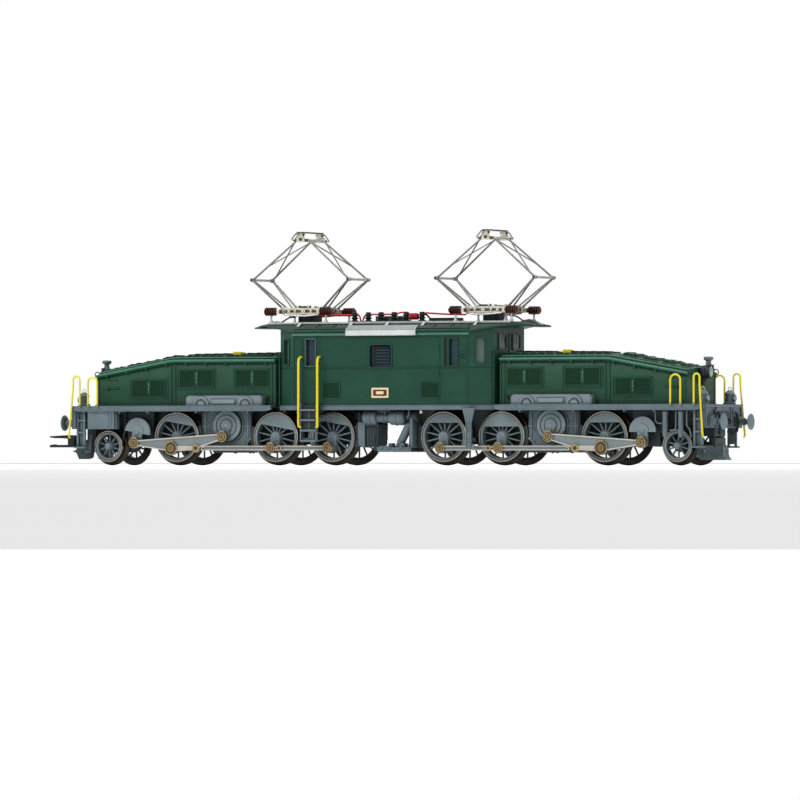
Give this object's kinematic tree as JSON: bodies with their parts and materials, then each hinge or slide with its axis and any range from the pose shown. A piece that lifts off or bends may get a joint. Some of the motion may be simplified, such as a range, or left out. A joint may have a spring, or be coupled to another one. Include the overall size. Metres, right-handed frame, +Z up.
{
  "type": "model electric locomotive",
  "caption": "H0-scale model electric locomotive with rod-driven bogies, sloping bonnets, a central cab body and folding diamond pantographs.",
  "frame": {"origin": "centre of the bounding box's bottom face, at the height of the wheel flanges' lowest points; the midpoint between the bogies is 4.9 mm towards the rear", "axes": "+X along the track towards the rear end with the snow plough, +Y to the far side, +Z up"},
  "size_m": [0.2368, 0.0354, 0.0724],
  "materials": {
    "body_green": "satin dark green paint on a cast casing",
    "hood_green": "satin green paint on a cast bonnet",
    "roof_green": "satin green-grey paint",
    "frame_grey": "satin blue-grey paint on a casting",
    "wheel_grey": "blue-grey painted spokes with a bare steel tread",
    "rod_steel": "satin steel with bronze-coloured eyes",
    "rail_yellow": "gloss yellow paint on wire",
    "pantograph_silver": "satin silver paint on fine steel wire",
    "conductor_red": "red conductor on dark posts",
    "dark_plastic": "black moulded plastic",
    "shaft_steel": "turned steel",
    "lamp_grey": "grey painted lamp body",
    "buffer_steel": "blue-grey painted metal",
    "glazing": "clear tinted glazing"
  },
  "bodies": {
    "body": {"main_frame": "frame_grey", "body_shell": "body_green", "window_glazing": "glazing", "roof": "roof_green", "roof_line": "conductor_red", "motor": "dark_plastic", "door_steps_near": "rail_yellow", "door_steps_far": "rail_yellow", "pantograph_base_front": "pantograph_silver", "pantograph_base_rear": "pantograph_silver"},
    "bogie_front": {"bogie_frame_front": "frame_grey", "hood_front": "hood_green", "headlamp_front": "lamp_grey", "end_rails_front_near": "rail_yellow", "end_rails_front_far": "rail_yellow", "buffer_front_near": "buffer_steel", "buffer_front_far": "buffer_steel"},
    "cardan_front": {"cardan_shaft_front": "shaft_steel"},
    "pony_front": {"pony_truck_front": "frame_grey"},
    "carrying_axle_front": {"carrying_wheelset_front": "wheel_grey"},
    "driving_axle_front_1": {"driving_wheelset_front_1": "wheel_grey"},
    "driving_axle_front_2": {"driving_wheelset_front_2": "wheel_grey"},
    "driving_axle_front_3": {"driving_wheelset_front_3": "wheel_grey"},
    "blind_shaft_front": {"blind_jackshaft_front": "frame_grey"},
    "drive_shaft_front": {"drive_jackshaft_front": "frame_grey"},
    "triangle_rod_front_near_body": {"triangle_rod_front_near": "rod_steel"},
    "coupling_rod_front_near_body": {"coupling_rod_front_near": "rod_steel"},
    "triangle_rod_front_far_body": {"triangle_rod_front_far": "rod_steel"},
    "coupling_rod_front_far_body": {"coupling_rod_front_far": "rod_steel"},
    "bogie_rear": {"bogie_frame_rear": "frame_grey", "hood_rear": "hood_green", "headlamp_rear": "lamp_grey", "end_rails_rear_near": "rail_yellow", "end_rails_rear_far": "rail_yellow", "buffer_rear_near": "buffer_steel", "buffer_rear_far": "buffer_steel", "snow_plough_rear": "frame_grey"},
    "cardan_rear": {"cardan_shaft_rear": "shaft_steel"},
    "pony_rear": {"pony_truck_rear": "frame_grey"},
    "carrying_axle_rear": {"carrying_wheelset_rear": "wheel_grey"},
    "driving_axle_rear_1": {"driving_wheelset_rear_1": "wheel_grey"},
    "driving_axle_rear_2": {"driving_wheelset_rear_2": "wheel_grey"},
    "driving_axle_rear_3": {"driving_wheelset_rear_3": "wheel_grey"},
    "blind_shaft_rear": {"blind_jackshaft_rear": "frame_grey"},
    "drive_shaft_rear": {"drive_jackshaft_rear": "frame_grey"},
    "triangle_rod_rear_near_body": {"triangle_rod_rear_near": "rod_steel"},
    "coupling_rod_rear_near_body": {"coupling_rod_rear_near": "rod_steel"},
    "triangle_rod_rear_far_body": {"triangle_rod_rear_far": "rod_steel"},
    "coupling_rod_rear_far_body": {"coupling_rod_rear_far": "rod_steel"},
    "coupler": {"coupler_front": "dark_plastic"},
    "lower_arm_front_outer_body": {"lower_arm_front_outer": "pantograph_silver"},
    "upper_arm_front_outer_body": {"upper_arm_front_outer": "pantograph_silver"},
    "lower_arm_front_inner_body": {"lower_arm_front_inner": "pantograph_silver"},
    "upper_arm_front_inner_body": {"upper_arm_front_inner": "pantograph_silver"},
    "collector_front": {"collector_head_front": "pantograph_silver"},
    "lower_arm_rear_outer_body": {"lower_arm_rear_outer": "pantograph_silver"},
    "upper_arm_rear_outer_body": {"upper_arm_rear_outer": "pantograph_silver"},
    "lower_arm_rear_inner_body": {"lower_arm_rear_inner": "pantograph_silver"},
    "upper_arm_rear_inner_body": {"upper_arm_rear_inner": "pantograph_silver"},
    "collector_rear": {"collector_head_rear": "pantograph_silver"}
  },
  "joints": [
    {"name": "bogie_swivel_front", "type": "hinge", "parent": "body", "child": "bogie_front", "pos_m": [-0.0401, 0, 0.0181], "axis": [0, 0, 1], "range_deg": [-7, 7]},
    {"name": "cardan_turn_front", "type": "hinge", "parent": "body", "child": "cardan_front", "pos_m": [-0.0151, 0, 0.027], "axis": [1, 0, 0], "continuous": true},
    {"name": "pony_swing_front", "type": "hinge", "parent": "bogie_front", "child": "pony_front", "pos_m": [-0.0751, 0, 0.0066], "axis": [0, 0, 1], "range_deg": [-5, 5]},
    {"name": "carrying_wheel_turn_front", "type": "hinge", "parent": "pony_front", "child": "carrying_axle_front", "pos_m": [-0.0928, 0, 0.00605], "axis": [0, 1, 0], "continuous": true},
    {"name": "wheel_turn_front_1", "type": "hinge", "parent": "bogie_front", "child": "driving_axle_front_1", "pos_m": [-0.0686, 0, 0.00885], "axis": [0, 1, 0], "continuous": true},
    {"name": "wheel_turn_front_2", "type": "hinge", "parent": "bogie_front", "child": "driving_axle_front_2", "pos_m": [-0.0339, 0, 0.00885], "axis": [0, 1, 0], "continuous": true},
    {"name": "wheel_turn_front_3", "type": "hinge", "parent": "bogie_front", "child": "driving_axle_front_3", "pos_m": [-0.0142, 0, 0.00885], "axis": [0, 1, 0], "continuous": true},
    {"name": "blind_shaft_turn_front", "type": "hinge", "parent": "bogie_front", "child": "blind_shaft_front", "pos_m": [-0.0818, 0, 0.0105], "axis": [0, 1, 0], "continuous": true},
    {"name": "drive_shaft_turn_front", "type": "hinge", "parent": "bogie_front", "child": "drive_shaft_front", "pos_m": [-0.0508, 0, 0.0124], "axis": [0, 1, 0], "continuous": true},
    {"name": "triangle_rod_front_near_pin", "type": "hinge", "parent": "driving_axle_front_1", "child": "triangle_rod_front_near_body", "pos_m": [-0.06921, -0.0121, 0.0054], "axis": [0, 1, 0], "continuous": true},
    {"name": "coupling_rod_front_near_pin", "type": "hinge", "parent": "driving_axle_front_2", "child": "coupling_rod_front_near_body", "pos_m": [-0.03451, -0.0121, 0.0054], "axis": [0, 1, 0], "continuous": true},
    {"name": "triangle_rod_front_far_pin", "type": "hinge", "parent": "driving_axle_front_1", "child": "triangle_rod_front_far_body", "pos_m": [-0.06515, 0.0121, 0.00824], "axis": [0, 1, 0], "continuous": true},
    {"name": "coupling_rod_front_far_pin", "type": "hinge", "parent": "driving_axle_front_2", "child": "coupling_rod_front_far_body", "pos_m": [-0.03045, 0.0121, 0.00824], "axis": [0, 1, 0], "continuous": true},
    {"name": "bogie_swivel_rear", "type": "hinge", "parent": "body", "child": "bogie_rear", "pos_m": [0.0499, 0, 0.0181], "axis": [0, 0, 1], "range_deg": [-7, 7]},
    {"name": "cardan_turn_rear", "type": "hinge", "parent": "body", "child": "cardan_rear", "pos_m": [0.0249, 0, 0.027], "axis": [1, 0, 0], "continuous": true},
    {"name": "pony_swing_rear", "type": "hinge", "parent": "bogie_rear", "child": "pony_rear", "pos_m": [0.0849, 0, 0.0066], "axis": [0, 0, 1], "range_deg": [-5, 5]},
    {"name": "carrying_wheel_turn_rear", "type": "hinge", "parent": "pony_rear", "child": "carrying_axle_rear", "pos_m": [0.1026, 0, 0.00605], "axis": [0, 1, 0], "continuous": true},
    {"name": "wheel_turn_rear_1", "type": "hinge", "parent": "bogie_rear", "child": "driving_axle_rear_1", "pos_m": [0.0784, 0, 0.00885], "axis": [0, 1, 0], "continuous": true},
    {"name": "wheel_turn_rear_2", "type": "hinge", "parent": "bogie_rear", "child": "driving_axle_rear_2", "pos_m": [0.0437, 0, 0.00885], "axis": [0, 1, 0], "continuous": true},
    {"name": "wheel_turn_rear_3", "type": "hinge", "parent": "bogie_rear", "child": "driving_axle_rear_3", "pos_m": [0.024, 0, 0.00885], "axis": [0, 1, 0], "continuous": true},
    {"name": "blind_shaft_turn_rear", "type": "hinge", "parent": "bogie_rear", "child": "blind_shaft_rear", "pos_m": [0.0916, 0, 0.0105], "axis": [0, 1, 0], "continuous": true},
    {"name": "drive_shaft_turn_rear", "type": "hinge", "parent": "bogie_rear", "child": "drive_shaft_rear", "pos_m": [0.0606, 0, 0.0124], "axis": [0, 1, 0], "continuous": true},
    {"name": "triangle_rod_rear_near_pin", "type": "hinge", "parent": "driving_axle_rear_1", "child": "triangle_rod_rear_near_body", "pos_m": [0.0784, -0.0121, 0.00535], "axis": [0, 1, 0], "continuous": true},
    {"name": "coupling_rod_rear_near_pin", "type": "hinge", "parent": "driving_axle_rear_2", "child": "coupling_rod_rear_near_body", "pos_m": [0.0437, -0.0121, 0.00535], "axis": [0, 1, 0], "continuous": true},
    {"name": "triangle_rod_rear_far_pin", "type": "hinge", "parent": "driving_axle_rear_1", "child": "triangle_rod_rear_far_body", "pos_m": [0.0819, 0.0121, 0.00885], "axis": [0, 1, 0], "continuous": true},
    {"name": "coupling_rod_rear_far_pin", "type": "hinge", "parent": "driving_axle_rear_2", "child": "coupling_rod_rear_far_body", "pos_m": [0.0472, 0.0121, 0.00885], "axis": [0, 1, 0], "continuous": true},
    {"name": "coupler_swing", "type": "hinge", "parent": "bogie_front", "child": "coupler", "pos_m": [-0.1011, 0, 0.0071], "axis": [0, 0, 1], "range_deg": [-12, 12]},
    {"name": "pantograph_fold_front", "type": "hinge", "parent": "body", "child": "lower_arm_front_outer_body", "pos_m": [-0.0332, 0, 0.0481], "axis": [0, -1, 0], "range_deg": [0, 32.4]},
    {"name": "knee_turn_front_outer", "type": "hinge", "parent": "lower_arm_front_outer_body", "child": "upper_arm_front_outer_body", "pos_m": [-0.0436, 0, 0.0576], "axis": [0, 1, 0], "range_deg": [-0.5, 54.6]},
    {"name": "lower_arm_turn_front_inner", "type": "hinge", "parent": "body", "child": "lower_arm_front_inner_body", "pos_m": [-0.0206, 0, 0.0481], "axis": [0, 1, 0], "range_deg": [-0.5, 32.9]},
    {"name": "knee_turn_front_inner", "type": "hinge", "parent": "lower_arm_front_inner_body", "child": "upper_arm_front_inner_body", "pos_m": [-0.0102, 0, 0.0576], "axis": [0, -1, 0], "range_deg": [-0.5, 54.6]},
    {"name": "collector_turn_front", "type": "hinge", "parent": "upper_arm_front_outer_body", "child": "collector_front", "pos_m": [-0.0289, 0, 0.0698], "axis": [0, -1, 0], "range_deg": [-0.5, 22.2]},
    {"name": "pantograph_fold_rear", "type": "hinge", "parent": "body", "child": "lower_arm_rear_outer_body", "pos_m": [0.043, 0, 0.0481], "axis": [0, 1, 0], "range_deg": [0, 32.4]},
    {"name": "knee_turn_rear_outer", "type": "hinge", "parent": "lower_arm_rear_outer_body", "child": "upper_arm_rear_outer_body", "pos_m": [0.0534, 0, 0.0576], "axis": [0, -1, 0], "range_deg": [-0.5, 54.6]},
    {"name": "lower_arm_turn_rear_inner", "type": "hinge", "parent": "body", "child": "lower_arm_rear_inner_body", "pos_m": [0.0304, 0, 0.0481], "axis": [0, -1, 0], "range_deg": [-0.5, 32.9]},
    {"name": "knee_turn_rear_inner", "type": "hinge", "parent": "lower_arm_rear_inner_body", "child": "upper_arm_rear_inner_body", "pos_m": [0.02, 0, 0.0576], "axis": [0, 1, 0], "range_deg": [-0.5, 54.6]},
    {"name": "collector_turn_rear", "type": "hinge", "parent": "upper_arm_rear_outer_body", "child": "collector_rear", "pos_m": [0.0387, 0, 0.0698], "axis": [0, 1, 0], "range_deg": [-0.5, 22.2]}
  ],
  "couplings": [
    {"joint": "cardan_turn_front", "follows": "wheel_turn_front_1", "ratio": 4},
    {"joint": "wheel_turn_front_2", "follows": "wheel_turn_front_1", "ratio": 1},
    {"joint": "wheel_turn_front_3", "follows": "wheel_turn_front_1", "ratio": 1},
    {"joint": "blind_shaft_turn_front", "follows": "wheel_turn_front_1", "ratio": 1},
    {"joint": "drive_shaft_turn_front", "follows": "wheel_turn_front_1", "ratio": 1},
    {"joint": "triangle_rod_front_near_pin", "follows": "wheel_turn_front_1", "ratio": -1},
    {"joint": "coupling_rod_front_near_pin", "follows": "wheel_turn_front_1", "ratio": -1},
    {"joint": "triangle_rod_front_far_pin", "follows": "wheel_turn_front_1", "ratio": -1},
    {"joint": "coupling_rod_front_far_pin", "follows": "wheel_turn_front_1", "ratio": -1},
    {"joint": "cardan_turn_rear", "follows": "wheel_turn_front_1", "ratio": 4},
    {"joint": "wheel_turn_rear_1", "follows": "wheel_turn_front_1", "ratio": 1},
    {"joint": "wheel_turn_rear_2", "follows": "wheel_turn_front_1", "ratio": 1},
    {"joint": "wheel_turn_rear_3", "follows": "wheel_turn_front_1", "ratio": 1},
    {"joint": "blind_shaft_turn_rear", "follows": "wheel_turn_front_1", "ratio": 1},
    {"joint": "drive_shaft_turn_rear", "follows": "wheel_turn_front_1", "ratio": 1},
    {"joint": "triangle_rod_rear_near_pin", "follows": "wheel_turn_front_1", "ratio": -1},
    {"joint": "coupling_rod_rear_near_pin", "follows": "wheel_turn_front_1", "ratio": -1},
    {"joint": "triangle_rod_rear_far_pin", "follows": "wheel_turn_front_1", "ratio": -1},
    {"joint": "coupling_rod_rear_far_pin", "follows": "wheel_turn_front_1", "ratio": -1},
    {"joint": "knee_turn_front_outer", "follows": "pantograph_fold_front", "ratio": 1.6703},
    {"joint": "lower_arm_turn_front_inner", "follows": "pantograph_fold_front", "ratio": 1},
    {"joint": "knee_turn_front_inner", "follows": "pantograph_fold_front", "ratio": 1.6703},
    {"joint": "collector_turn_front", "follows": "pantograph_fold_front", "ratio": 0.6703},
    {"joint": "knee_turn_rear_outer", "follows": "pantograph_fold_rear", "ratio": 1.6703},
    {"joint": "lower_arm_turn_rear_inner", "follows": "pantograph_fold_rear", "ratio": 1},
    {"joint": "knee_turn_rear_inner", "follows": "pantograph_fold_rear", "ratio": 1.6703},
    {"joint": "collector_turn_rear", "follows": "pantograph_fold_rear", "ratio": 0.6703}
  ]
}
